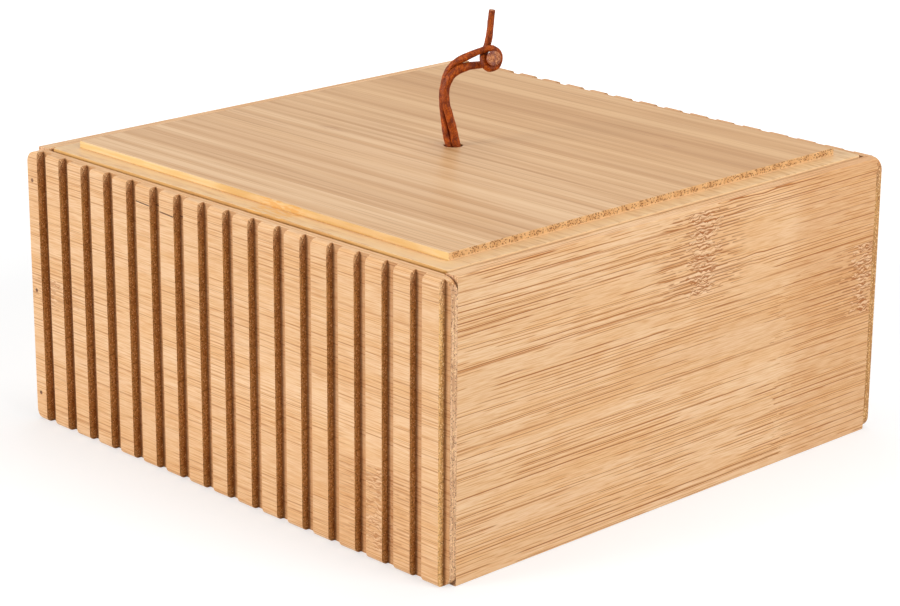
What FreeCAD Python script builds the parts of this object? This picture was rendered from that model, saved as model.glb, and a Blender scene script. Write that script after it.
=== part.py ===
import FreeCAD, Part
import math
import os

# Bamboo storage box: grooved front and back boards, plain sides, a floor let into the sides,
# and a lid that drops in between the walls and lifts off by a knotted leather cord.
# Millimetres. The origin is under the middle of the box, +X is to the right of the grooved
# front, +Y runs from the front to the back, and +Z is up.

# Box
box_width = 200.0
box_depth = 202.5
side_height = 95.0
side_thickness = 5.0
side_ease = 0.4

# Grooved boards at the front and back
board_thickness = 5.0
board_drop = 0.4
board_low_round = 2.0
board_top_round_left = 1.0
board_top_round_right = 2.2
board_corner_round = 4.0
board_end_ease = 0.3
front_first_land = 5.5
back_first_land = 3.0
groove_pitch = 12.0
groove_width = 5.0
groove_depth_left = 2.9
groove_depth_right = 2.3
groove_end_round = 0.2
open_joint_gap = 0.7
open_joint_height = 4.5

# Floor board and the grooves in the sides that hold it
floor_thickness = 5.0
floor_lift = 4.0
floor_end_gap = 0.2
dado_depth = 2.0
dado_clearance = 0.1

# Cleats that carry the lid
cleat_width = 6.0
cleat_height = 10.0
cleat_end_gap = 4.0
cleat_chamfer = 1.5

# Brads through the boards' left ends into the left side
brad_diameter = 1.0
brad_head_diameter = 1.3
brad_head_depth = 0.5
brad_length = 16.0
brad_point = 1.5
brad_clearance = 0.05
brad_height_shares = (0.105, 0.49, 0.895)

# Lid
lid_thickness = 8.0
lid_side_gap = 0.7
lid_end_gap = 1.0
lid_seat_gap = 0.1
lid_corner_round = 2.0
lid_under_round = 0.8
rim_proud = 0.3
rim_side_width = 6.4
rim_end_width = 7.0
rim_round = 0.6
step_height = 2.4
field_ease = 0.3
hole_diameter = 6.2
hole_ease = 0.4
hole_forward = 1.25

# Leather pull and the knot that stops it under the lid
cord_diameter = 2.2
pull_turn_deg = 46.0
stop_knot_diameter = 9.0
stop_knot_height = 6.0
stop_knot_top_round = 0.5
stop_knot_under_round = 2.2

# Share of the shorter run that each arc of a cord takes up
arc_cut_share = 0.45
# Spacing of the points on which gaps along the cords are measured
gap_step = 0.1
# How far cuts run past what they cut
overrun = 5.0
# Two places closer than this are the same place
same_place = 1e-4

# Routes of the cords: across the pull, towards the front right, and up from the lid's field
long_route = [
    (-1.20, -0.20, -lid_thickness),
    (-1.30, -0.30, -5.2),
    (-1.20, -0.20, -2.3),
    (-1.55, -0.25, 0.6),
    (-2.25, -0.40, 3.3),
    (-2.70, -0.85, 6.5),
    (-3.20, -1.15, 9.9),
    (-3.55, -1.25, 13.2),
    (-3.60, -1.20, 16.6),
    (-3.25, -1.15, 20.0),
    (-2.55, -1.00, 23.1),
    (-1.15, -0.70, 26.0),
    (0.70, -0.35, 27.8),
    (3.00, 0.15, 29.3),
    (5.60, 0.70, 30.6),
    (8.15, 1.15, 31.8),
    (10.45, 1.35, 32.7),
    (12.70, 1.00, 32.9),
    (14.40, 0.40, 31.3),
    (14.90, 0.10, 29.1),
    (14.10, 0.10, 26.9),
    (12.15, 0.60, 26.0),
    (10.35, 1.50, 27.0),
    (9.60, 1.10, 29.0),
    (9.80, -0.70, 30.6),
    (10.60, -1.45, 32.4),
    (11.25, -1.35, 34.7),
    (11.60, -1.20, 37.4),
    (11.90, -1.10, 40.4),
    (12.10, -1.00, 43.0),
    (12.40, -1.00, 45.5),
]
short_route = [
    (1.20, 0.20, -lid_thickness),
    (1.30, 0.30, -5.2),
    (1.20, 0.20, -2.3),
    (0.90, 0.35, 0.6),
    (0.25, 0.45, 3.4),
    (-0.45, 0.85, 6.9),
    (-1.50, 1.15, 10.4),
    (-2.40, 1.30, 13.8),
    (-2.75, 1.30, 17.2),
    (-2.45, 1.25, 20.3),
    (-1.45, 1.15, 22.8),
    (0.00, 1.00, 24.6),
    (1.95, 0.55, 25.8),
    (4.30, 0.10, 26.6),
    (6.60, -0.50, 26.8),
    (8.65, -1.10, 26.8),
    (10.60, -1.25, 27.4),
    (12.05, -0.25, 28.6),
    (12.75, 2.00, 29.7),
    (13.20, 4.30, 30.4),
]

# Places that several pieces share
left_end = -box_width / 2
right_end = box_width / 2
front_face = -box_depth / 2
board_top = side_height - board_drop
board_back = front_face + board_thickness
side_inner = right_end - side_thickness
side_half = -board_back
rim_top = side_height + rim_proud
field_top = rim_top + step_height
lid_under = field_top - lid_thickness
cleat_top = lid_under - lid_seat_gap
lid_half_x = side_inner - lid_side_gap
lid_half_y = side_half - lid_end_gap
field_half_x = lid_half_x - rim_side_width
field_half_y = lid_half_y - rim_end_width
hole_under = FreeCAD.Vector(0, -hole_forward, lid_under)
hole_top = FreeCAD.Vector(0, -hole_forward, field_top)

origin = FreeCAD.Vector(0, 0, 0)
x_axis = FreeCAD.Vector(1, 0, 0)
y_axis = FreeCAD.Vector(0, 1, 0)
z_axis = FreeCAD.Vector(0, 0, 1)


def block(x_range, y_range, z_range):
    """A box between two values on each axis."""
    low = FreeCAD.Vector(x_range[0], y_range[0], z_range[0])
    return Part.makeBox(x_range[1] - low.x, y_range[1] - low.y, z_range[1] - low.z, low)


def both(half):
    """A range centred on the origin."""
    return (-half, half)


def same(first, second):
    return abs(first - second) < same_place


def edges_at(shape, test):
    """The edges whose two ends both meet the test."""
    return [edge for edge in shape.Edges if all(test(end.Point) for end in edge.Vertexes)]


def edges_along(shape, axis):
    """The straight edges of a block that run along an axis."""
    def aligned(edge):
        return edge.tangentAt(edge.FirstParameter).cross(axis).Length < same_place
    return [edge for edge in shape.Edges if aligned(edge)]


def bar(section, x_range):
    """A solid between two values of X, from edges that close an outline across Y and Z."""
    face = Part.Face(Part.Wire(Part.__sortEdges__(section)))
    solid = face.extrude(x_axis * (x_range[1] - x_range[0]))
    solid.translate(x_axis * x_range[0])
    return solid


def lines(places):
    """Straight edges from each place across Y and Z to the next."""
    points = [FreeCAD.Vector(0, y, z) for y, z in places]
    return [Part.LineSegment(start, end).toShape() for start, end in zip(points, points[1:])]


def across_x(shape):
    """The mirror image on the other side of the box, left and right."""
    return shape.mirror(origin, x_axis)


def across_y(shape):
    """The mirror image on the other side of the box, front and back."""
    return shape.mirror(origin, y_axis)


def brads(first_land, growth):
    """The brads of a front board, or with growth the holes that they need."""
    solids = []
    radius = brad_diameter / 2 + growth
    head_radius = brad_head_diameter / 2 + growth
    shank = brad_length - brad_point
    inset = min(first_land, side_thickness) / 2
    for share in brad_height_shares:
        head_place = FreeCAD.Vector(left_end + inset, front_face, share * board_top)
        point_place = head_place + y_axis * shank
        solid = Part.makeCylinder(head_radius, brad_head_depth + growth, head_place, y_axis)
        solid = solid.fuse(Part.makeCylinder(radius, shank, head_place, y_axis))
        solid = solid.fuse(Part.makeCone(radius, growth, brad_point + growth, point_place, y_axis))
        solids.append(solid.removeSplitter().Solids[0])
    return Part.makeCompound(solids)


def groove_cut(place):
    """What is cut for a groove that starts at a place along X: its floor is rounded over at both ends."""
    share = (place - left_end) / box_width
    depth = groove_depth_left + (groove_depth_right - groove_depth_left) * share
    floor_place = front_face + depth
    outside = front_face - overrun
    inside = floor_place + groove_end_round
    bulge = groove_end_round * (1 - math.cos(math.pi / 4))
    low_bend = [(inside, 0), (floor_place + bulge, bulge), (floor_place, groove_end_round)]
    high_bend = [(y, board_top - z) for y, z in reversed(low_bend)]
    section = lines([high_bend[-1], (inside, board_top + overrun), (outside, board_top + overrun),
                     (outside, -overrun), (inside, -overrun), low_bend[0]])
    section += lines([low_bend[-1], high_bend[0]])
    for bend in (low_bend, high_bend):
        section.append(Part.Arc(*[FreeCAD.Vector(0, y, z) for y, z in bend]).toShape())
    return bar(section, (place, place + groove_width))


def open_joint():
    """The thin wedge by which a front board stands off the right side's end at the top."""
    places = [(board_back, board_top - open_joint_height), (board_back, board_top + overrun),
              (board_back - open_joint_gap, board_top + overrun), (board_back - open_joint_gap, board_top)]
    return bar(lines(places + places[:1]), (side_inner, right_end + overrun))


def grooved_board(first_land):
    """A front board, with its grooves running from its bottom edge to its top edge."""
    blank = block((left_end, right_end), (front_face, board_back), (0, board_top))
    outline = blank.makeFillet(board_corner_round, edges_along(blank, y_axis))
    outline = outline.makeFillet(board_end_ease, edges_at(outline, lambda place: same(place.y, front_face)))
    low_edge = edges_at(blank, lambda place: same(place.y, front_face) and same(place.z, 0))
    blank = blank.makeFillet(board_low_round, low_edge)
    top_edge = edges_at(blank, lambda place: same(place.y, front_face) and same(place.z, board_top))
    board = outline.common(blank.makeFillet(board_top_round_left, board_top_round_right, top_edge))
    for index in range(math.ceil((box_width - first_land) / groove_pitch)):
        board = board.cut(groove_cut(left_end + first_land + index * groove_pitch))
    wedge = open_joint()
    board = board.cut(wedge).cut(across_x(wedge))
    return board.cut(brads(first_land, brad_clearance)).Solids[0]


def side_panel():
    """The right side, with the groove on its inner face that holds the floor."""
    panel = block((side_inner, right_end), both(side_half), (0, side_height))
    long_edges = [edge for edge in panel.Edges if same(edge.Length, 2 * side_half)]
    panel = panel.makeFillet(side_ease, long_edges)
    dado = block(
        (side_inner - overrun, side_inner + dado_depth),
        both(side_half + overrun),
        (floor_lift, floor_lift + floor_thickness + dado_clearance))
    return panel.cut(dado).Solids[0]


def floor_panel():
    """The floor, with its two ends in the side panels' grooves."""
    half_x = side_inner + dado_depth - dado_clearance
    return block(both(half_x), both(side_half - floor_end_gap), (floor_lift, floor_lift + floor_thickness))


def cleat():
    """The right cleat, glued to the inner face of the side under the lid."""
    inner = side_inner - cleat_width
    under = cleat_top - cleat_height
    strip = block((inner, side_inner), both(side_half - cleat_end_gap), (under, cleat_top))
    low_edge = edges_at(strip, lambda place: same(place.x, inner) and same(place.z, under))
    return strip.makeChamfer(cleat_chamfer, low_edge)


def off_field(place):
    """Whether a place is past the edge of the lid's raised field."""
    past_side = abs(place.x) > field_half_x + same_place
    past_end = abs(place.y) > field_half_y + same_place
    return past_side or past_end


def lid_board():
    """The lid: a raised field, a lower rim all round and a hole for the cord."""
    lid = block(both(lid_half_x), both(lid_half_y), (lid_under, field_top))
    upright = [edge for edge in lid.Edges if same(edge.Length, lid_thickness)]
    lid = lid.makeFillet(lid_corner_round, upright)
    field = block(both(field_half_x), both(field_half_y), (rim_top, field_top + overrun))
    above_rim = block(
        both(lid_half_x + overrun),
        both(lid_half_y + overrun),
        (rim_top, field_top + overrun))
    lid = lid.cut(above_rim.cut(field))
    lid = lid.makeFillet(lid_under_round, edges_at(lid, lambda place: same(place.z, lid_under)))
    lid = lid.makeFillet(field_ease, edges_at(lid, lambda place: same(place.z, field_top)))
    rim_edges = edges_at(lid, lambda place: same(place.z, rim_top) and off_field(place))
    lid = lid.makeFillet(rim_round, rim_edges)
    hole = Part.makeCylinder(hole_diameter / 2, lid_thickness, hole_under, z_axis)
    lid = lid.cut(hole)
    mouth = [edge for edge in edges_at(lid, lambda place: same(place.z, field_top))
             if same(edge.Length, math.pi * hole_diameter)]
    return lid.makeFillet(hole_ease, mouth).Solids[0]


def stop_knot():
    """The knot under the lid, wider than the hole."""
    radius = stop_knot_diameter / 2
    place = hole_under - z_axis * stop_knot_height
    knot = Part.makeCylinder(radius, stop_knot_height, place, z_axis)
    knot = knot.makeFillet(stop_knot_under_round, edges_at(knot, lambda end: same(end.z, place.z)))
    return knot.makeFillet(stop_knot_top_round, edges_at(knot, lambda place: same(place.z, lid_under)))


def route_places(route):
    """A cord's route in the box's own axes."""
    turn = math.radians(pull_turn_deg)
    aside = FreeCAD.Vector(math.cos(turn), math.sin(turn), 0)
    forward = FreeCAD.Vector(math.sin(turn), -math.cos(turn), 0)
    return [hole_top + aside * across + forward * near + z_axis * up for across, near, up in route]


def route_wire(places):
    """Straight runs joined by tangent arcs, each as large as its two runs allow, and the radii."""
    edges = []
    radii = []
    start = places[0]
    for before, corner, after in zip(places, places[1:], places[2:]):
        back = (before - corner).normalize()
        ahead = (after - corner).normalize()
        turn = math.pi - back.getAngle(ahead)
        cut = arc_cut_share * min((before - corner).Length, (after - corner).Length)
        radius = cut / math.tan(turn / 2)
        inward = (back + ahead).normalize()
        middle = corner + inward * (math.hypot(radius, cut) - radius)
        edges.append(Part.LineSegment(start, corner + back * cut).toShape())
        start = corner + ahead * cut
        edges.append(Part.Arc(corner + back * cut, middle, start).toShape())
        radii.append(radius)
    edges.append(Part.LineSegment(start, places[-1]).toShape())
    return Part.Wire(edges), radii


def cord(name, wire, radii):
    """A round tube along the wire. Prints its length, its radii and how its volume compares."""
    start = wire.Edges[0].Vertexes[0].Point
    ahead = wire.Edges[0].Vertexes[1].Point - start
    ring = Part.Wire(Part.makeCircle(cord_diameter / 2, start, ahead))
    tube = wire.makePipeShell([ring], True, False)
    section = math.pi * cord_diameter ** 2 / 4
    share = tube.Volume / (section * wire.Length)
    tightest = min(radii) / cord_diameter
    print(name, "length %.1f mm, volume share %.4f, tightest radius %.2f diameters"
          % (wire.Length, share, tightest))
    print(name, "radii", " ".join("%.1f" % radius for radius in radii))
    return tube.Solids[0]


def least_gap(first, second, apart):
    """The least gap between two cords, or along one cord between points some length apart."""
    least = box_width
    for first_index, place in enumerate(first):
        for second_index, other in enumerate(second):
            if apart and abs(second_index - first_index) * gap_step < apart:
                continue
            least = min(least, (place - other).Length)
    return least - cord_diameter


def main():
    right = side_panel()
    right_cleat = cleat()
    front_holes = brads(front_first_land, brad_clearance)
    back_holes = across_y(brads(back_first_land, brad_clearance))
    left = across_x(right).cut(front_holes).cut(back_holes).Solids[0]
    long_wire, long_radii = route_wire(route_places(long_route))
    short_wire, short_radii = route_wire(route_places(short_route))
    pieces = {
        "front_panel": grooved_board(front_first_land),
        "back_panel": across_y(grooved_board(back_first_land)),
        "left_side_panel": left,
        "right_side_panel": right,
        "bottom_panel": floor_panel(),
        "left_lid_cleat": across_x(right_cleat),
        "right_lid_cleat": right_cleat,
        "front_left_brads": brads(front_first_land, 0),
        "back_left_brads": across_y(brads(back_first_land, 0)),
        "lid_board": lid_board(),
        "pull_cord_long": cord("pull_cord_long", long_wire, long_radii),
        "pull_cord_short": cord("pull_cord_short", short_wire, short_radii),
        "pull_stop_knot": stop_knot(),
    }
    long_places = long_wire.discretize(Distance=gap_step)
    short_places = short_wire.discretize(Distance=gap_step)
    print("least gap of the long cord to itself %.2f mm"
          % least_gap(long_places, long_places, math.pi * cord_diameter))
    print("least gap between the cords %.2f mm" % least_gap(long_places, short_places, 0))
    os.makedirs("parts", exist_ok=True)
    for name, shape in pieces.items():
        state = "valid" if shape.isValid() else "NOT VALID"
        print(name, state, len(shape.Solids), "%.1f mm3" % shape.Volume)
        shape.exportStep("parts/" + name + ".step")


main()
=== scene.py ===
import bmesh
import bpy
import math
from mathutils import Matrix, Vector, noise


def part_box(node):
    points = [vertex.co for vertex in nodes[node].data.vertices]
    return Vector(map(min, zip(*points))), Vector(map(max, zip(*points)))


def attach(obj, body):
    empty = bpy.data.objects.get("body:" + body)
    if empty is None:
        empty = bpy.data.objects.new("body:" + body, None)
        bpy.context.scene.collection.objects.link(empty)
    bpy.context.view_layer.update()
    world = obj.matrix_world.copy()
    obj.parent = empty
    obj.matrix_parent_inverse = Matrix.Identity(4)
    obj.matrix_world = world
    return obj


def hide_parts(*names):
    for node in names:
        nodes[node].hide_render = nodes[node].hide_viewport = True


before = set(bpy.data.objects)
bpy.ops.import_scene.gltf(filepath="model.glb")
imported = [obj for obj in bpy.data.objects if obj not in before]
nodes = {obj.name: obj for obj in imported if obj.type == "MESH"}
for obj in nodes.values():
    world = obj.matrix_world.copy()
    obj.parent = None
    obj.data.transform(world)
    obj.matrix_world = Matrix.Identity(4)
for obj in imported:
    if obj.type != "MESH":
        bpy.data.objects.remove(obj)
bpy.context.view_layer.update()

# Lengths in the tables below are millimetres, and the scene is in metres
MM = 0.001

# Camera, fitted to the edges of the box in the photograph
image_width_px = 900
camera_focal_px = 2704.97
camera_place_mm = (621.14, -604.88, 321.35)
camera_turn_deg = (72.1768, -0.3379, 45.9794)
sensor_width = 36.0

# Leather pull: where the hole comes out on top of the lid, and the routes of the two strands
# across the pull, towards the viewer and up from there, as they are in the solids
hole_top_mm = (0.0, -1.25, 97.7)
pull_turn_deg = 46.0
lid_thickness = 8.0
long_route = [
    (-1.20, -0.20, -lid_thickness),
    (-1.30, -0.30, -5.2),
    (-1.20, -0.20, -2.3),
    (-1.55, -0.25, 0.6),
    (-2.25, -0.40, 3.3),
    (-2.70, -0.85, 6.5),
    (-3.20, -1.15, 9.9),
    (-3.55, -1.25, 13.2),
    (-3.60, -1.20, 16.6),
    (-3.25, -1.15, 20.0),
    (-2.55, -1.00, 23.1),
    (-1.15, -0.70, 26.0),
    (0.70, -0.35, 27.8),
    (3.00, 0.15, 29.3),
    (5.60, 0.70, 30.6),
    (8.15, 1.15, 31.8),
    (10.45, 1.35, 32.7),
    (12.70, 1.00, 32.9),
    (14.40, 0.40, 31.3),
    (14.90, 0.10, 29.1),
    (14.10, 0.10, 26.9),
    (12.15, 0.60, 26.0),
    (10.35, 1.50, 27.0),
    (9.60, 1.10, 29.0),
    (9.80, -0.70, 30.6),
    (10.60, -1.45, 32.4),
    (11.25, -1.35, 34.7),
    (11.60, -1.20, 37.4),
    (11.90, -1.10, 40.4),
    (12.10, -1.00, 43.0),
    (12.40, -1.00, 45.5),
]
short_route = [
    (1.20, 0.20, -lid_thickness),
    (1.30, 0.30, -5.2),
    (1.20, 0.20, -2.3),
    (0.90, 0.35, 0.6),
    (0.25, 0.45, 3.4),
    (-0.45, 0.85, 6.9),
    (-1.50, 1.15, 10.4),
    (-2.40, 1.30, 13.8),
    (-2.75, 1.30, 17.2),
    (-2.45, 1.25, 20.3),
    (-1.45, 1.15, 22.8),
    (0.00, 1.00, 24.6),
    (1.95, 0.55, 25.8),
    (4.30, 0.10, 26.6),
    (6.60, -0.50, 26.8),
    (8.65, -1.10, 26.8),
    (10.60, -1.25, 27.4),
    (12.05, -0.25, 28.6),
    (12.75, 2.00, 29.7),
    (13.20, 4.30, 30.4),
]

# Radii of the strands by the share of their length: (share, radius)
long_radii = [
    (0.0, 1.05), (0.12, 1.3), (0.3, 1.25), (0.42, 1.2), (0.5, 1.3), (0.57, 1.05),
    (0.7, 1.3), (0.79, 1.4), (0.86, 1.2), (0.93, 1.1), (1.0, 1.05),
]
short_radii = [
    (0.0, 1.05), (0.18, 1.4), (0.35, 1.35), (0.5, 1.25), (0.62, 1.35), (0.72, 1.5),
    (0.82, 1.2), (0.9, 1.2), (0.95, 2.1), (1.0, 2.45),
]
# Strands: piece, CAD node, route, radii, length in metres, far end and seed of the unevenness
strands = [
    ("pull_strand_long", "pull_cord_long", long_route, long_radii, 0.0812, "bare", 1.0),
    ("pull_strand_short", "pull_cord_short", short_route, short_radii, 0.0522, "knot", 4.0),
]
tube_sides = 28
# Unevenness of the leather: its share of the radius, and how fast it changes
wave_share = 0.09
wave_reach = 1.1
wave_scale = 0.55
crease_share = 0.035
crease_turns = 3.0
crease_count = 14.0
# Cut ends: height of the dome as a share of the radius, and its rings as shares of radius and height
end_dome_share = 0.2
end_rings = ((0.95, 0.45), (0.84, 0.8), (0.55, 0.95), (0.26, 1.0))
end_rough_share = 0.25
end_rough_scale = 1.7
# Stop knot: radius of its strand, the room that it leaves above and below, and points on its line
stop_knot_radius = 1.1
stop_knot_room = 1.15
stop_knot_points = 120

# Bamboo: the wall boards' strips, the lid's strips, its darker bands (from, to, how much)
# and the small eyes in its grain (place, length and width)
strip_height = 24.0
lid_strip_width = 7.96
lid_strip_start = 0.9
lid_bands = [
    (46.0, 65.0, 0.5), (72.0, 80.0, 0.2), (-69.0, -58.0, 0.45), (-16.0, -8.0, 0.2), (16.0, 24.0, 0.2),
]
lid_eyes = [(-43.5, -15.5, 9.0, 2.4), (49.0, 50.0, 6.0, 1.6)]

# Nodes of the bamboo: middle and half width along the board, lowest, highest and strength
front_nodes = [(72.0, 4.0, 4.0, 30.0, 0.45), (-88.0, 3.0, 42.0, 52.0, 0.5)]
back_nodes = [(-40.0, 5.0, 38.0, 62.0, 0.8)]
left_nodes = [(-30.0, 5.0, 20.0, 44.0, 0.8)]
right_nodes = [(9.5, 6.5, 67.0, 93.5, 0.78), (92.0, 4.0, 43.0, 66.5, 0.8)]

# Browner places, and on the back board painted shade along its top: from and to along the board, lowest,
# highest and strength
front_tints = [
    (-110.0, 110.0, -5.0, 100.0, 0.22), (-110.0, 110.0, -5.0, 30.5, 0.16), (52.0, 80.0, -5.0, 30.5, 0.3),
]
# The back board's band along its top is painted shade on the rounded top edge
back_top_painted_shade = [(-110.0, 110.0, 92.5, 100.0, 0.7)]
right_tints = [
    (62.0, 110.0, -5.0, 100.0, 0.42), (62.0, 110.0, 44.0, 100.0, 0.3), (-20.0, 51.0, 45.0, 56.0, 0.2),
    (-95.0, -45.0, 4.0, 17.0, 0.16),
]

# Fine cracks in the front board: from and to along it, and the height at each of these
front_cracks = [(-41.0, -31.0, 89.1, 88.6), (-28.5, -18.5, 88.0, 87.4)]

# The right side's moved fibres: past which place, lowest and highest, and the ripples' middle and lowest
right_shift = (50.0, 0.0, 66.0, 11.0, 66.0)

# Where painted light and shade change on the grooved boards: depths from the middle of the box (painted shade
# towards the sawn walls' inner corner, and the groove floors with their sawn colour and painted shade), and
# heights (painted light near the top of the sawn walls)
sawn_shade_depths = (101.0, 98.6)
groove_floor_depths = (98.0, 99.2)
sawn_light_heights = (82.0, 94.0)

# Where the lid's finish, painted shade and painted light change: heights, and places across and along it; the
# step's foot gets painted shade, its end grain in the gap painted light, and its back painted shade beside a
# lighter front that stands for a sheen
ledge_heights = (96.6, 96.2)
step_shade_heights = (95.8, 95.2)
gap_light_heights = (95.9, 95.5)
gap_dot_heights = (95.4, 95.8)
lid_shade_places = (-50.0, 60.0)
lid_knot_across = (-87.2, -88.2)
lid_knot_along = (8.0, 22.0)

# Lamps: name, place and size in metres, and power in watts; all aim at the middle of the box
lamps = [
    ("key_front_left", (-1.35, -3.34, 0.75), 1.3, 121.5),
    ("fill_right", (1.2, 0.15, 0.5), 0.9, 12.6),
    ("top", (-0.1, 0.2, 1.3), 1.0, 10.3),
]
lamp_target = (0, 0, 0.05)
world_strength = 0.10

# Floor: its size in metres, its grey, and its lift to white near the box and more beyond some distance
floor_size = 6.0
floor_grey = 0.5
floor_lift_near = 0.58
floor_lift_more = 0.42
floor_lift_distances = (200.0, 700.0)


def srgb(red, green, blue):
    """A colour given as it looks on a screen, 0 to 255, as the linear values of a shader."""
    def linear(value):
        share = value / 255
        return share / 12.92 if share <= 0.04045 else ((share + 0.055) / 1.055) ** 2.4
    return (linear(red), linear(green), linear(blue), 1.0)


class Shader:
    """Builds the nodes of one material. Numbers and node sockets can be mixed as inputs."""

    def __init__(self, name):
        self.material = bpy.data.materials.new(name)
        self.material.use_nodes = True
        self.tree = self.material.node_tree
        self.tree.nodes.clear()
        output = self.tree.nodes.new("ShaderNodeOutputMaterial")
        self.surface = self.tree.nodes.new("ShaderNodeBsdfPrincipled")
        self.tree.links.new(self.surface.outputs[0], output.inputs[0])
        self.coordinates = self.tree.nodes.new("ShaderNodeTexCoord")

    def put(self, socket, value):
        if isinstance(value, bpy.types.NodeSocket):
            self.tree.links.new(value, socket)
        else:
            socket.default_value = value

    def split(self, vector):
        node = self.tree.nodes.new("ShaderNodeSeparateXYZ")
        self.put(node.inputs[0], vector)
        return node.outputs

    def place(self):
        """The point's place on the object in millimetres, one value per axis."""
        node = self.tree.nodes.new("ShaderNodeVectorMath")
        node.operation = "SCALE"
        self.put(node.inputs[0], self.coordinates.outputs["Object"])
        self.put(node.inputs["Scale"], 1 / MM)
        return self.split(node.outputs[0])

    def faces(self, axis, low=0.5, high=0.8):
        """1 where the surface faces along an axis, either way."""
        return self.ease(self.size(self.split(self.coordinates.outputs["Normal"])[axis]), low, high)

    def calc(self, operation, *values):
        node = self.tree.nodes.new("ShaderNodeMath")
        node.operation = operation
        for socket, value in zip(node.inputs, values):
            self.put(socket, value)
        return node.outputs[0]

    def add(self, first, second):
        return self.calc("ADD", first, second)

    def less(self, first, second):
        return self.calc("SUBTRACT", first, second)

    def times(self, first, second):
        return self.calc("MULTIPLY", first, second)

    def most(self, first, second):
        return self.calc("MAXIMUM", first, second)

    def size(self, value):
        return self.calc("ABSOLUTE", value)

    def ease(self, value, low, high):
        """0 at low, 1 at high, smooth between them; low may be the larger."""
        node = self.tree.nodes.new("ShaderNodeMapRange")
        node.interpolation_type = "SMOOTHSTEP"
        backwards = low > high
        self.put(node.inputs["Value"], value)
        self.put(node.inputs["From Min"], min(low, high))
        self.put(node.inputs["From Max"], max(low, high))
        self.put(node.inputs["To Min"], 1.0 if backwards else 0.0)
        self.put(node.inputs["To Max"], 0.0 if backwards else 1.0)
        return node.outputs[0]

    def within(self, value, low, high, soft):
        """1 between low and high, falling to 0 over the soft length outside them."""
        return self.times(self.ease(value, low - soft, low), self.ease(value, high + soft, high))

    def vector(self, *parts):
        node = self.tree.nodes.new("ShaderNodeCombineXYZ")
        for socket, part in zip(node.inputs, parts):
            self.put(socket, part)
        return node.outputs[0]

    def noise(self, places, sizes, detail=1.0, roughness=0.5):
        """Smooth noise whose features have about the given size along each axis."""
        parts = [self.times(place, 1 / size) for place, size in zip(places, sizes)]
        node = self.tree.nodes.new("ShaderNodeTexNoise")
        self.put(node.inputs["Vector"], self.vector(*parts))
        self.put(node.inputs["Scale"], 1.0)
        self.put(node.inputs["Detail"], detail)
        self.put(node.inputs["Roughness"], roughness)
        return node.outputs["Fac"]

    def cells(self, places, sizes):
        """Distance to the nearest cell centre, a random value of that cell and its centre along each axis."""
        parts = [self.times(place, 1 / size) for place, size in zip(places, sizes)]
        node = self.tree.nodes.new("ShaderNodeTexVoronoi")
        self.put(node.inputs["Vector"], self.vector(*parts))
        self.put(node.inputs["Scale"], 1.0)
        centre = self.split(node.outputs["Position"])
        centre = [self.times(part, size) for part, size in zip(centre, sizes)]
        return node.outputs["Distance"], self.split(node.outputs["Color"])[0], centre

    def random(self, value, seed):
        """A random number from 0 to 1 for each whole value."""
        node = self.tree.nodes.new("ShaderNodeTexWhiteNoise")
        node.noise_dimensions = "2D"
        self.put(node.inputs["Vector"], self.vector(value, seed, 0.0))
        return node.outputs["Value"]

    def mix(self, share, first, second, blend="MIX"):
        node = self.tree.nodes.new("ShaderNodeMix")
        node.data_type = "RGBA"
        node.blend_type = blend
        self.put(node.inputs["Factor"], share)
        self.put(node.inputs[6], first)
        self.put(node.inputs[7], second)
        return node.outputs[2]

    def darken(self, colour, share, tint):
        """The colour multiplied by the tint, as far as the share says."""
        return self.mix(share, colour, tint, "MULTIPLY")

    def bump(self, height, depth_mm, strength):
        node = self.tree.nodes.new("ShaderNodeBump")
        self.put(node.inputs["Strength"], strength)
        self.put(node.inputs["Distance"], depth_mm * MM)
        self.put(node.inputs["Height"], height)
        self.put(self.surface.inputs["Normal"], node.outputs[0])

    def finish(self, colour, roughness, specular=0.35):
        self.put(self.surface.inputs["Base Color"], colour)
        self.put(self.surface.inputs["Roughness"], roughness)
        self.surface.inputs["Specular IOR Level"].default_value = specular
        return self.material


# Bamboo
def fibre_lines(shader, along, across, seed, pitch, width, length, bias):
    """Thin lines along the grain in stretches of about the length, and the warm haze above each."""
    wander = shader.less(shader.noise((along, across, seed), (110.0, 14.0, 1.0)), 0.5)
    row_place = shader.times(shader.add(across, shader.times(wander, 2.0)), 1 / pitch)
    row = shader.calc("FLOOR", row_place)
    chance = shader.random(row, seed)
    middle = shader.add(0.2, shader.times(chance, 0.25))
    above = shader.times(shader.less(shader.less(row_place, row), middle), pitch)
    thickness = shader.times(shader.add(0.5, shader.random(row, seed + 1.0)), width / 2)
    core = shader.ease(shader.calc("DIVIDE", shader.size(above), thickness), 1.0, 0.3)
    start = shader.add(along, shader.times(chance, 40 * length))
    slow = shader.add(shader.noise((start, row, seed), (length, 0.37, 1.0)), bias)
    haze = shader.times(shader.ease(above, 0.55 * pitch, 0.1), shader.ease(above, -0.15, 0.15))
    return shader.times(core, shader.ease(slow, 0.46, 0.54)), shader.times(haze, shader.ease(slow, 0.42, 0.6))


# Colours of the wall boards; a tint multiplies the colour under it
wall_pale = srgb(243, 205, 164)
wall_mid = srgb(237, 195, 150)
wall_warm = srgb(232, 180, 124)
wall_brown = srgb(212, 156, 102)
wall_strip_tint = srgb(243, 236, 226)
wall_hair_tint = srgb(244, 232, 216)
wall_fine_tint = srgb(248, 240, 230)
wall_fine_pale = srgb(252, 220, 172)
wall_haze = srgb(232, 180, 118)
wall_thin_line = srgb(186, 120, 58)
wall_line = srgb(164, 98, 42)
wall_seam = srgb(184, 120, 64)
wall_crack = srgb(86, 48, 22)
# Groove floors: partly the sawn wood's darker colour, partly painted shade where the lands shade them
groove_floor_sawn_and_shade = srgb(222, 210, 198)


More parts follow.
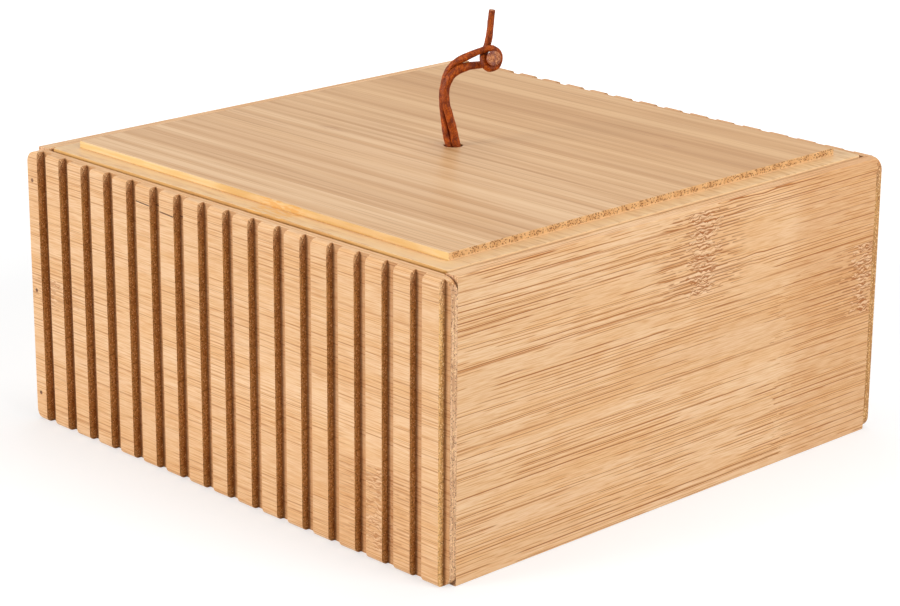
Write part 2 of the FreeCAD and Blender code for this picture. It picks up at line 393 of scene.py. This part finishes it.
def wall_bamboo(name, along_axis, seed, first_joint, line_share, culm_nodes, tints=(), cracks=(),
                sawn_within=0.0, shift=None):
    """Flat-pressed bamboo: wide strips with long fibre lines, and nodes and tints at the given places."""
    shader = Shader(name)
    place = shader.place()
    along, across, depth = place[along_axis], place[2], place[1 - along_axis]
    level = shader.add(across, depth)
    line_level = level
    if shift:
        line_level = shader.add(level, moved_fibres(shader, along, across, seed, *shift))
    strip_place = shader.times(shader.less(across, first_joint), 1 / strip_height)
    strip = shader.calc("FLOOR", strip_place)
    tone = shader.random(strip, seed + 3.0)
    broad = shader.noise((along, level, seed), (90.0, 7.0, 1.0))
    warm = shader.noise((along, level, seed + 5.0), (55.0, 8.0, 1.0))
    colour = shader.mix(shader.ease(broad, 0.35, 0.65), wall_pale, wall_mid)
    colour = shader.mix(shader.times(shader.ease(warm, 0.48, 0.66), 0.4), colour, wall_warm)
    colour = shader.darken(colour, shader.times(tone, 0.5), wall_strip_tint)
    # Browner places; on the back board the band along the top is painted shade
    for low, high, bottom, top, share in tints:
        here = shader.times(shader.within(along, low, high, 12.0), shader.within(across, bottom, top, 0.8))
        colour = shader.mix(shader.times(here, share), colour, wall_brown)
    hair = shader.noise((along, level, seed + 2.0), (10.0, 0.4, 1.0), detail=2.0)
    colour = shader.darken(colour, shader.ease(hair, 0.45, 0.7), wall_hair_tint)
    fine = shader.noise((along, level, seed + 4.0), (7.0, 0.34, 1.0), detail=2.0)
    colour = shader.darken(colour, shader.ease(fine, 0.5, 0.62), wall_fine_tint)
    colour = shader.mix(shader.times(shader.ease(fine, 0.48, 0.36), 0.2), colour, wall_fine_pale)
    crowd = shader.less(shader.noise((along, level, seed + 7.0), (60.0, 8.0, 1.0)), 0.48)
    lines, haze = fibre_lines(shader, along, line_level, seed + 11.0, pitch=2.0, width=0.38, length=48.0,
                              bias=shader.times(crowd, 0.8))
    thin, thin_haze = fibre_lines(shader, along, line_level, seed + 23.0, pitch=1.05, width=0.27, length=24.0,
                                  bias=crowd)
    colour = shader.mix(shader.times(shader.most(haze, thin_haze), 0.4 * line_share), colour, wall_haze)
    colour = shader.mix(shader.times(thin, 0.85 * line_share), colour, wall_thin_line)
    colour = shader.mix(shader.times(lines, 0.9 * line_share), colour, wall_line)
    seam = shader.times(shader.size(shader.less(shader.less(strip_place, strip), 0.5)), -strip_height)
    seam = shader.ease(seam, -strip_height / 2 + 0.45, -strip_height / 2 + 0.1)
    seam_here = shader.ease(shader.noise((along, strip, seed), (45.0, 0.4, 1.0)), 0.4, 0.55)
    colour = shader.mix(shader.times(shader.times(seam, seam_here), 0.8 * line_share), colour, wall_seam)
    for culm_node in culm_nodes:
        colour = node_patch(shader, colour, along, across, seed, *culm_node)
    for first, last, first_height, last_height in cracks:
        slope = (last_height - first_height) / (last - first)
        middle = shader.add(shader.times(shader.less(along, first), slope), first_height)
        narrow = shader.ease(shader.size(shader.less(across, middle)), 0.26, 0.12)
        here = shader.times(narrow, shader.within(along, first, last, 1.5))
        colour = shader.mix(here, colour, wall_crack)
    if sawn_within:
        # Darker groove floors: partly sawn colour, partly painted shade
        floor_here = shader.within(shader.size(depth), *groove_floor_depths, 0.3)
        floor_on = shader.times(shader.faces(1 - along_axis, 0.7, 0.9), floor_here)
        colour = shader.darken(colour, floor_on, groove_floor_sawn_and_shade)
    sawn = shader.ease(shader.size(along), sawn_within + 0.2, sawn_within - 0.2)
    ends = end_grain(shader, across, depth, seed, sawn)
    colour = shader.mix(shader.faces(along_axis), colour, ends)
    shader.bump(shader.add(hair, shader.times(lines, -0.6)), 0.08, 0.25)
    return shader.finish(colour, 0.48, specular=0.3)


def moved_fibres(shader, along, across, seed, place, low, high, ripple_middle, ripple_low):
    """How far the fibres are moved: past an old node at one place, and in ripples around another."""
    ragged = shader.less(shader.noise((along, across, seed), (9.0, 0.8, 1.0)), 0.5)
    edge = shader.add(along, shader.times(ragged, 36.0))
    past = shader.times(shader.ease(edge, place - 0.3, place + 0.3), shader.within(across, low, high, 0.1))
    near = shader.ease(shader.size(shader.less(along, ripple_middle)), 52.0, 14.0)
    near = shader.times(near, shader.ease(across, ripple_low, ripple_low + 3.0))
    wave = shader.less(shader.noise((along, across, seed + 1.0), (14.0, 4.0, 1.0)), 0.5)
    return shader.add(shader.times(past, 7.7), shader.times(shader.times(near, wave), 2.0))


# Colours of the nodes
node_haze = srgb(222, 164, 100)
node_dash = srgb(156, 92, 40)
node_pale = srgb(244, 208, 168)
node_brown = srgb(164, 94, 36)


def node_patch(shader, colour, along, across, seed, middle, half, low, high, share):
    """A node of the culm: rows of pale flecks with brown lower edges, and short dashes beside them."""
    height = shader.within(across, low, high, 0.6)
    edge = shader.times(shader.less(shader.noise((along, across, seed), (6.0, 1.5, 1.0)), 0.5), 14.0)
    reach = shader.size(shader.add(shader.less(along, middle), edge))
    beside = shader.times(shader.ease(reach, half + 19.0, half + 6.0), height)
    dashes, haze = fibre_lines(shader, along, across, seed + 41.0, pitch=1.1, width=0.5, length=6.0,
                                bias=0.05)
    colour = shader.mix(shader.times(shader.times(haze, beside), 0.6 * share), colour, node_haze)
    colour = shader.mix(shader.times(shader.times(dashes, beside), share), colour, node_dash)
    zigzag = shader.times(shader.noise((along, across, seed), (2.4, 2.0, 1.0)), 2.4)
    slant = shader.add(across, zigzag)
    distance, chance, centre = shader.cells((along, slant, seed), (2.8, 0.95, 1.0))
    cell_reach = shader.add(shader.size(shader.less(centre[0], middle)), shader.times(chance, 7.0))
    inside = shader.times(shader.times(shader.ease(cell_reach, half + 3.4, half + 2.4), height), share)
    above = shader.less(slant, centre[1])
    pale = shader.times(shader.ease(above, 0.0, 0.2), 0.68)
    colour = shader.mix(shader.times(inside, pale), colour, node_pale)
    lower = shader.times(shader.ease(above, 0.04, -0.12), shader.ease(chance, -0.2, 0.25))
    return shader.mix(shader.times(inside, lower), colour, node_brown)


# Colours of the end grain, as cut and where a groove was sawn, with painted light near the top of the sawn
# walls and painted shade towards their inner corner
end_pale = srgb(230, 184, 142)
end_mid = srgb(202, 152, 110)
sawn_pale = srgb(232, 186, 122)
sawn_mid = srgb(202, 152, 90)
# Painted light: the sawn walls turn lighter near the board's top, where light from above falls
sawn_top_painted_light = srgb(224, 178, 140)
# Painted shade towards the inner corner of the sawn walls
sawn_inner_painted_shade = srgb(214, 190, 160)
end_dot = srgb(110, 66, 28)
end_speck = srgb(250, 212, 158)


def end_grain(shader, first, second, seed, sawn):
    """The cut ends of the fibres: dark and pale dots, and browned where a groove was sawn, with painted light
    near the top and painted shade towards the inner corner.
    """
    distance, chance, centre = shader.cells((first, second, seed), (0.5, 0.5, 1.0))
    streak = shader.noise((first, second, seed + 9.0), (14.0, 0.9, 1.0))
    colour = shader.mix(shader.ease(streak, 0.35, 0.65), end_pale, end_mid)
    brown = shader.mix(shader.ease(streak, 0.35, 0.65), sawn_pale, sawn_mid)
    # Painted light: lighter near the top of the sawn walls
    brown = shader.mix(shader.times(shader.ease(first, *sawn_light_heights), 0.5), brown, sawn_top_painted_light)
    # Painted shade: the sawn walls darken towards their inner corner
    inner = shader.ease(shader.size(second), *sawn_shade_depths)
    brown = shader.darken(brown, shader.times(inner, 0.8), sawn_inner_painted_shade)
    colour = shader.mix(sawn, colour, brown)
    dots = shader.times(shader.ease(distance, 0.55, 0.3), shader.ease(chance, 0.5, 0.65))
    colour = shader.mix(shader.times(dots, 0.7), colour, end_dot)
    specks = shader.times(shader.ease(distance, 0.55, 0.3), shader.ease(chance, 0.42, 0.32))
    return shader.mix(shader.times(specks, 0.9), colour, end_speck)


# Colours of the lid: its field, ledge, edges and end grain, with painted shade at the step's foot and towards
# the back, and painted light on the end grain down in the gap
lid_pale = srgb(231, 192, 148)
lid_mid = srgb(220, 178, 133)
lid_broad_tint = srgb(242, 234, 223)
# Painted shade towards the lid's back, which leaves the front lighter as if it caught a sheen
lid_back_painted_shade = srgb(243, 234, 213)
lid_band_tint = srgb(228, 214, 196)
lid_dense_tint = srgb(243, 235, 225)
lid_hair_tint = srgb(240, 230, 216)
lid_line = srgb(180, 132, 86)
lid_seam = srgb(172, 126, 84)
lid_eye = srgb(172, 118, 78)
lid_ledge = srgb(230, 192, 143)
lid_step = srgb(236, 204, 152)
# Painted shade at the foot of the step, where it goes down into the gap beside the wall
lid_step_foot_painted_shade = srgb(214, 166, 102)
lid_step_hair_tint = srgb(240, 228, 212)
lid_step_tint = srgb(248, 242, 220)
lid_knot = srgb(222, 162, 80)
lid_end_pale = srgb(226, 182, 128)
lid_end_mid = srgb(212, 164, 110)
# Painted light on the lid's end grain down in the dark gap beside the wall
lid_gap_painted_light = srgb(232, 192, 144)
lid_end_dot = srgb(126, 78, 38)


def lid_bamboo(name):
    """Side-pressed bamboo: narrow strips on edge, each denser towards its front."""
    shader = Shader(name)
    place = shader.place()
    along, across, depth = place
    strip_place = shader.times(shader.less(across, lid_strip_start), 1 / lid_strip_width)
    strip = shader.calc("FLOOR", strip_place)
    share = shader.less(strip_place, strip)
    tone = shader.random(strip, 3.0)
    seed = shader.times(shader.random(strip, 8.0), 60.0)
    broad = shader.noise((along, across, seed), (150.0, 3.4, 1.0))
    colour = shader.mix(tone, lid_pale, lid_mid)
    colour = shader.darken(colour, shader.ease(broad, 0.4, 0.64), lid_broad_tint)
    # Painted sheen and shade: darker towards the back, lighter at the front
    colour = shader.darken(colour, shader.times(shader.ease(across, *lid_shade_places), 0.7), lid_back_painted_shade)
    for low, high, dark in lid_bands:
        here = shader.times(shader.within(across, low, high, 1.0), dark)
        colour = shader.darken(colour, here, lid_band_tint)
    dense = shader.ease(share, 0.5, 0.0)
    colour = shader.darken(colour, shader.times(dense, 0.7), lid_dense_tint)
    hair = shader.noise((along, across, seed), (50.0, 0.6, 1.0))
    colour = shader.darken(colour, shader.ease(hair, 0.5, 0.75), lid_hair_tint)
    bias = shader.less(shader.times(dense, 0.1), 0.11)
    lines = fibre_lines(shader, along, across, 5.0, pitch=2.1, width=0.4, length=50.0, bias=bias)[0]
    colour = shader.mix(shader.times(lines, 0.6), colour, lid_line)
    seam = shader.ease(shader.size(shader.less(share, 0.5)), 0.46, 0.5)
    seam_here = shader.ease(shader.noise((along, strip, 2.0), (60.0, 0.4, 1.0)), 0.4, 0.6)
    colour = shader.mix(shader.times(shader.times(seam, seam_here), 0.55), colour, lid_seam)
    for middle, level, long, wide in lid_eyes:
        colour = eye(shader, colour, along, across, middle, level, long, wide)
    low_cut = shader.ease(depth, *ledge_heights)
    saw = shader.noise((along, across, 3.0), (9.0, 1.6, 1.0), detail=2.0)
    colour = shader.mix(shader.times(low_cut, shader.ease(saw, 0.25, 0.65)), colour, lid_ledge)
    colour = shader.mix(shader.faces(0), colour, lid_end_grain(shader, across, depth, share))
    # Painted shade: the step darkens at its foot
    edge = shader.mix(shader.ease(depth, *step_shade_heights), lid_step, lid_step_foot_painted_shade)
    edge = shader.darken(edge, shader.ease(hair, 0.4, 0.65), lid_step_hair_tint)
    yellow = shader.noise((along, depth, 7.0), (16.0, 1.2, 1.0), detail=2.0)
    edge = shader.darken(edge, shader.ease(yellow, 0.4, 0.6), lid_step_tint)
    colour = shader.mix(shader.faces(1), colour, edge)
    knot = shader.times(shader.within(along, *lid_knot_along, 5.0), shader.ease(across, *lid_knot_across))
    fleck = shader.ease(shader.noise((along, across, depth), (3.6, 1.0, 0.8), detail=2.0), 0.42, 0.58)
    colour = shader.mix(shader.times(shader.times(knot, fleck), 0.7), colour, lid_knot)
    shader.bump(hair, 0.05, 0.12)
    return shader.finish(colour, 0.4, specular=0.28)


def eye(shader, colour, along, across, middle, level, long, wide):
    """A small brown eye in the grain, drawn out along it."""
    wave = shader.times(shader.less(shader.noise((along, across, 1.0), (7.0, 2.0, 1.0)), 0.5), 4.0)
    first = shader.times(shader.less(along, middle), 1 / long)
    second = shader.times(shader.less(shader.add(across, wave), level), 1 / wide)
    reach = shader.calc("SQRT", shader.add(shader.times(first, first), shader.times(second, second)))
    streak = shader.ease(shader.noise((along, across, 6.0), (6.0, 0.6, 1.0), detail=2.0), 0.4, 0.6)
    return shader.mix(shader.times(shader.times(shader.ease(reach, 1.0, 0.2), streak), 0.7), colour, lid_eye)


def lid_end_grain(shader, across, depth, share):
    """The strips' ends: dots crowded at the front of each strip, lighter and without dots down in the gap
    beside the wall, a painted light.
    """
    distance, chance, centre = shader.cells((across, depth, 4.0), (0.56, 0.56, 1.0))
    dense = shader.ease(share, 1.0, 0.0)
    colour = shader.mix(dense, lid_end_pale, lid_end_mid)
    # Painted light: the end grain is lightened down in the gap
    colour = shader.mix(shader.ease(depth, *gap_light_heights), colour, lid_gap_painted_light)
    often = shader.ease(shader.add(chance, shader.times(dense, 0.4)), 0.24, 0.54)
    dots = shader.times(shader.ease(distance, 0.55, 0.3), often)
    dots = shader.times(dots, shader.ease(depth, *gap_dot_heights))
    return shader.mix(shader.times(dots, 0.95), colour, lid_end_dot)


# Colours of the inside pieces
inside_pale = srgb(238, 200, 156)
inside_mid = srgb(224, 180, 132)
inside_hair_tint = srgb(226, 208, 184)
inside_line = srgb(196, 142, 90)


def plain_bamboo(name, along_axis):
    """The inside pieces: plain sanded bamboo."""
    shader = Shader(name)
    place = shader.place()
    along, across, depth = place[along_axis], place[1 - along_axis], place[2]
    hair = shader.noise((along, across, depth), (40.0, 0.5, 0.5), detail=2.0)
    broad = shader.noise((along, across, depth), (90.0, 6.0, 6.0))
    colour = shader.mix(shader.ease(broad, 0.35, 0.65), inside_pale, inside_mid)
    colour = shader.darken(colour, shader.ease(hair, 0.42, 0.7), inside_hair_tint)
    lines = fibre_lines(shader, along, across, 2.0, pitch=1.9, width=0.4, length=50.0, bias=0.0)[0]
    colour = shader.mix(shader.times(lines, 0.5), colour, inside_line)
    shader.bump(hair, 0.06, 0.2)
    return shader.finish(colour, 0.55, specular=0.3)


# Colours of the leather and of its cut ends
leather_dark = srgb(134, 58, 10)
leather_light = srgb(194, 98, 22)
cut_light = srgb(214, 150, 104)
cut_dark = srgb(158, 106, 94)
leather_grain_tint = srgb(184, 142, 112)
leather_crease_tint = srgb(180, 130, 100)


def leather(name, light):
    """Orange brown leather with a fine grain, darker in its creases; light for its cut ends."""
    shader = Shader(name)
    place = shader.place()
    cloud = shader.noise(place, (1.6, 1.6, 3.0), detail=2.0)
    grain = shader.noise(place, (0.32, 0.32, 0.45), detail=3.0, roughness=0.6)
    distance, chance, centre = shader.cells(place, (0.42, 0.42, 0.55))
    colour = shader.mix(shader.ease(cloud, 0.35, 0.65), leather_dark, leather_light)
    if light:
        colour = shader.mix(shader.ease(cloud, 0.4, 0.6), cut_light, cut_dark)
    colour = shader.darken(colour, shader.ease(grain, 0.42, 0.66), leather_grain_tint)
    colour = shader.darken(colour, shader.times(shader.ease(distance, 0.25, 0.6), 0.5), leather_crease_tint)
    shader.bump(shader.add(grain, shader.times(distance, 0.5)), 0.12, 0.6)
    return shader.finish(colour, 0.55, specular=0.2)


# Colours of the brads
brad_light = srgb(146, 102, 72)
brad_dark = srgb(104, 70, 48)


def brad_steel(name):
    """Darkened steel, a little uneven."""
    shader = Shader(name)
    place = shader.place()
    cloud = shader.noise(place, (0.6, 0.6, 0.6), detail=2.0)
    colour = shader.mix(shader.ease(cloud, 0.4, 0.6), brad_light, brad_dark)
    shader.bump(cloud, 0.03, 0.4)
    shader.surface.inputs["Metallic"].default_value = 0.4
    return shader.finish(colour, 0.55)


# Leather pull
def pull_place(across, near, up):
    """A place on the pull, in metres, from its three distances in millimetres."""
    turn = math.radians(pull_turn_deg)
    aside = Vector((math.cos(turn), math.sin(turn), 0.0))
    forward = Vector((math.sin(turn), -math.cos(turn), 0.0))
    return (Vector(hole_top_mm) + aside * across + forward * near + Vector((0.0, 0.0, up))) * MM


def smooth_line(places):
    """Points along the smooth line whose control points are the places."""
    data = bpy.data.curves.new("route", "CURVE")
    data.dimensions = "3D"
    data.resolution_u = 10
    spline = data.splines.new("NURBS")
    spline.points.add(len(places) - 1)
    for point, place in zip(spline.points, places):
        point.co = (*place, 1.0)
    spline.order_u = 3
    spline.use_endpoint_u = True
    holder = bpy.data.objects.new("route", data)
    mesh = bpy.data.meshes.new_from_object(holder)
    points = [vertex.co.copy() for vertex in mesh.vertices]
    bpy.data.objects.remove(holder)
    bpy.data.meshes.remove(mesh)
    bpy.data.curves.remove(data)
    return points


def table_value(table, share):
    """The value at a share, smooth between the rows of a table."""
    for (low, first), (high, second) in zip(table, table[1:]):
        if share <= high:
            part = (share - low) / (high - low)
            part = part * part * (3 - 2 * part)
            return first + (second - first) * part
    return table[-1][1]


def leather_tube(name, points, radii, seed, closed=False):
    """A leather strand along the points, slightly uneven, with rounded cut ends."""
    end = points[-1]
    while not closed and (points[-1] - end).length < end_dome_share * radii[-1][1] * MM:
        points = points[:-1]
    steps = [(after - before).length for before, after in zip(points, points[1:])]
    total = sum(steps)
    shares = [sum(steps[:index]) / total for index in range(len(points))]
    mesh = bmesh.new()
    rings = []
    side = None
    count = len(points)
    for index, (point, share) in enumerate(zip(points, shares)):
        before = points[index - 1] if closed or index else point
        after = points[(index + 1) % count] if closed or index < count - 1 else point
        ahead = (after - before).normalized()
        if side is None:
            side = ahead.orthogonal().normalized()
        side = (side - ahead * side.dot(ahead)).normalized()
        other = ahead.cross(side)
        radius = table_value(radii, share) * MM
        ring = []
        for step in range(tube_sides):
            angle = 2 * math.pi * step / tube_sides
            out = side * math.cos(angle) + other * math.sin(angle)
            wave = noise.noise((point / MM + out * wave_reach + Vector((seed, 0.0, 0.0))) * wave_scale)
            crease = noise.noise(Vector((crease_turns * angle, share * crease_count, seed)))
            uneven = 1 + wave_share * wave + crease_share * crease
            ring.append(mesh.verts.new(point + out * radius * uneven))
        rings.append(ring)
    pairs = list(zip(rings, rings[1:]))
    if closed:
        pairs.append((rings[-1], rings[0]))
    for first, second in pairs:
        join_rings(mesh, first, second, 0)
    if not closed:
        cap_end(mesh, rings[0], rings[1])
        cap_end(mesh, rings[-1], rings[-2])
    bmesh.ops.recalc_face_normals(mesh, faces=mesh.faces)
    data = bpy.data.meshes.new(name)
    mesh.to_mesh(data)
    mesh.free()
    piece = bpy.data.objects.new(name, data)
    bpy.context.scene.collection.objects.link(piece)
    return piece


def cap_end(mesh, ring, neighbour):
    """Closes the end of a strand with a rounded edge and a low, uneven dome."""
    middle = sum((vertex.co for vertex in ring), Vector()) / len(ring)
    inner = sum((vertex.co for vertex in neighbour), Vector()) / len(neighbour)
    ahead = (middle - inner).normalized()
    radius = sum((vertex.co - middle).length for vertex in ring) / len(ring)
    last = ring
    for share, part in end_rings:
        new_ring = []
        for vertex in ring:
            place = middle + (vertex.co - middle) * share
            rough = noise.noise(place / MM * end_rough_scale) * end_rough_share
            new_ring.append(mesh.verts.new(place + ahead * radius * end_dome_share * (part + rough)))
        join_rings(mesh, last, new_ring, 1)
        last = new_ring
    centre = mesh.verts.new(middle + ahead * radius * end_dome_share)
    for step in range(len(last)):
        face = mesh.faces.new((last[step], last[(step + 1) % len(last)], centre))
        face.material_index = 1
        face.smooth = True


def join_rings(mesh, first, second, material):
    """The faces from one ring of a strand to the next, in one of its two materials."""
    for step in range(len(first)):
        after = (step + 1) % len(first)
        face = mesh.faces.new((first[step], first[after], second[after], second[step]))
        face.material_index = material
        face.smooth = True


def stop_knot_line():
    """A pulled-tight overhand knot as a closed line, within the knot's space under the lid."""
    low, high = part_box("pull_stop_knot")
    middle = (Vector(low) + Vector(high)) / 2
    half = (Vector(high) - Vector(low)) / 2
    room = half - Vector((stop_knot_radius, stop_knot_radius, stop_knot_room)) * MM
    points = []
    for index in range(stop_knot_points):
        turn = 2 * math.pi * index / stop_knot_points
        x = math.sin(turn) + 2 * math.sin(2 * turn)
        y = math.cos(turn) - 2 * math.cos(2 * turn)
        z = -math.sin(3 * turn)
        points.append(middle + Vector((x / 3 * room.x, y / 3 * room.y, z * room.z)))
    return points


def make_pull():
    """The two leather strands and the knot that stops them under the lid."""
    brown = leather("pull_leather_brown", False)
    cut = leather("pull_leather_cut", True)
    knot_radii = [(0.0, stop_knot_radius), (1.0, stop_knot_radius)]
    knot = leather_tube("pull_stop_knot_tied", stop_knot_line(), knot_radii, 7.0, closed=True)
    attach(knot, "lid")
    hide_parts("pull_stop_knot")
    for name, node, route, radii, length, far_end, seed in strands:
        places = [pull_place(*place) for place in route]
        line = smooth_line(places)
        strand = leather_tube(name, line, radii, seed)
        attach(strand, "lid")
        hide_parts(node)
        strand.data.materials.append(brown)
        strand.data.materials.append(cut)
    knot.data.materials.append(brown)


def dress_boards():
    """Gives every CAD node that shows its own finish."""
    cleats = plain_bamboo("bamboo_cleats", 1)
    steel = brad_steel("brad_steel_dark")
    finishes = {
        "front_panel": wall_bamboo("bamboo_front", 0, seed=3.0, first_joint=30.0, line_share=0.65,
                                   culm_nodes=front_nodes, tints=front_tints, cracks=front_cracks,
                                   sawn_within=99.4),
        "back_panel": wall_bamboo("bamboo_back", 0, seed=31.0, first_joint=14.0, line_share=0.6,
                                  culm_nodes=back_nodes, tints=back_top_painted_shade, sawn_within=101.0),
        "left_side_panel": wall_bamboo("bamboo_left", 1, seed=57.0, first_joint=20.0, line_share=0.9,
                                       culm_nodes=left_nodes),
        "right_side_panel": wall_bamboo("bamboo_right", 1, seed=77.0, first_joint=18.0, line_share=1.1,
                                        culm_nodes=right_nodes, tints=right_tints, shift=right_shift),
        "lid_board": lid_bamboo("bamboo_lid_board"),
        "bottom_panel": plain_bamboo("bamboo_floor", 0),
        "left_lid_cleat": cleats,
        "right_lid_cleat": cleats,
        "front_left_brads": steel,
        "back_left_brads": steel,
    }
    for name, material in finishes.items():
        nodes[name].data.materials.clear()
        nodes[name].data.materials.append(material)


# Stage
def make_camera():
    """The photograph's own view."""
    data = bpy.data.cameras.new("photo_camera")
    data.sensor_fit = "HORIZONTAL"
    data.sensor_width = sensor_width
    data.lens = sensor_width * camera_focal_px / image_width_px
    data.clip_start = 0.01
    data.clip_end = 20.0
    camera = bpy.data.objects.new("photo_camera", data)
    camera.location = [value * MM for value in camera_place_mm]
    camera.rotation_euler = [math.radians(value) for value in camera_turn_deg]
    bpy.context.scene.collection.objects.link(camera)
    bpy.context.scene.camera = camera


def area_light(name, place, size, power):
    """A square white lamp that shines at the middle of the box."""
    data = bpy.data.lights.new(name, "AREA")
    data.shape = "RECTANGLE"
    data.size = data.size_y = size
    data.energy = power
    light = bpy.data.objects.new(name, data)
    light.location = place
    aim = Vector(lamp_target) - Vector(place)
    light.rotation_euler = aim.to_track_quat("-Z", "Y").to_euler()
    bpy.context.scene.collection.objects.link(light)


def make_world():
    """A dim even light, seen as white by the camera and through mirrors and glass."""
    world = bpy.data.worlds.new("studio")
    bpy.context.scene.world = world
    world.use_nodes = True
    tree = world.node_tree
    tree.nodes.clear()
    light = tree.nodes.new("ShaderNodeBackground")
    light.inputs["Strength"].default_value = world_strength
    white = tree.nodes.new("ShaderNodeBackground")
    white.inputs["Strength"].default_value = 1.0
    mix = tree.nodes.new("ShaderNodeMixShader")
    tree.links.new(background_rays(tree), mix.inputs[0])
    tree.links.new(light.outputs[0], mix.inputs[1])
    tree.links.new(white.outputs[0], mix.inputs[2])
    out = tree.nodes.new("ShaderNodeOutputWorld")
    tree.links.new(mix.outputs[0], out.inputs[0])


def background_rays(tree):
    """1 for the rays by which the background is seen, straight, mirrored or through glass."""
    rays = tree.nodes.new("ShaderNodeLightPath")
    total = rays.outputs["Is Camera Ray"]
    for name in ("Is Glossy Ray", "Is Transmission Ray"):
        node = tree.nodes.new("ShaderNodeMath")
        node.operation = "MAXIMUM"
        tree.links.new(total, node.inputs[0])
        tree.links.new(rays.outputs[name], node.inputs[1])
        total = node.outputs[0]
    return total


def make_floor():
    """A pale floor, lifted to white where it is seen, so that only its shadow shows."""
    bpy.ops.mesh.primitive_plane_add(size=floor_size, location=(0, 0, 0))
    floor = bpy.context.object
    floor.name = "floor"
    shader = Shader("floor_white")
    material = shader.finish((floor_grey, floor_grey, floor_grey, 1.0), 0.9, specular=0.0)
    shader.put(shader.surface.inputs["Emission Color"], (1.0, 1.0, 1.0, 1.0))
    across, away, up = shader.place()
    distance = shader.calc("SQRT", shader.add(shader.times(across, across), shader.times(away, away)))
    beyond = shader.ease(distance, *floor_lift_distances)
    level = shader.add(floor_lift_near, shader.times(beyond, floor_lift_more))
    lift = shader.times(background_rays(shader.tree), level)
    shader.put(shader.surface.inputs["Emission Strength"], lift)
    floor.data.materials.append(material)


def make_stage():
    bpy.context.scene.view_settings.view_transform = "Standard"
    make_camera()
    make_world()
    make_floor()
    for lamp in lamps:
        area_light(*lamp)


make_stage()
dress_boards()
make_pull()
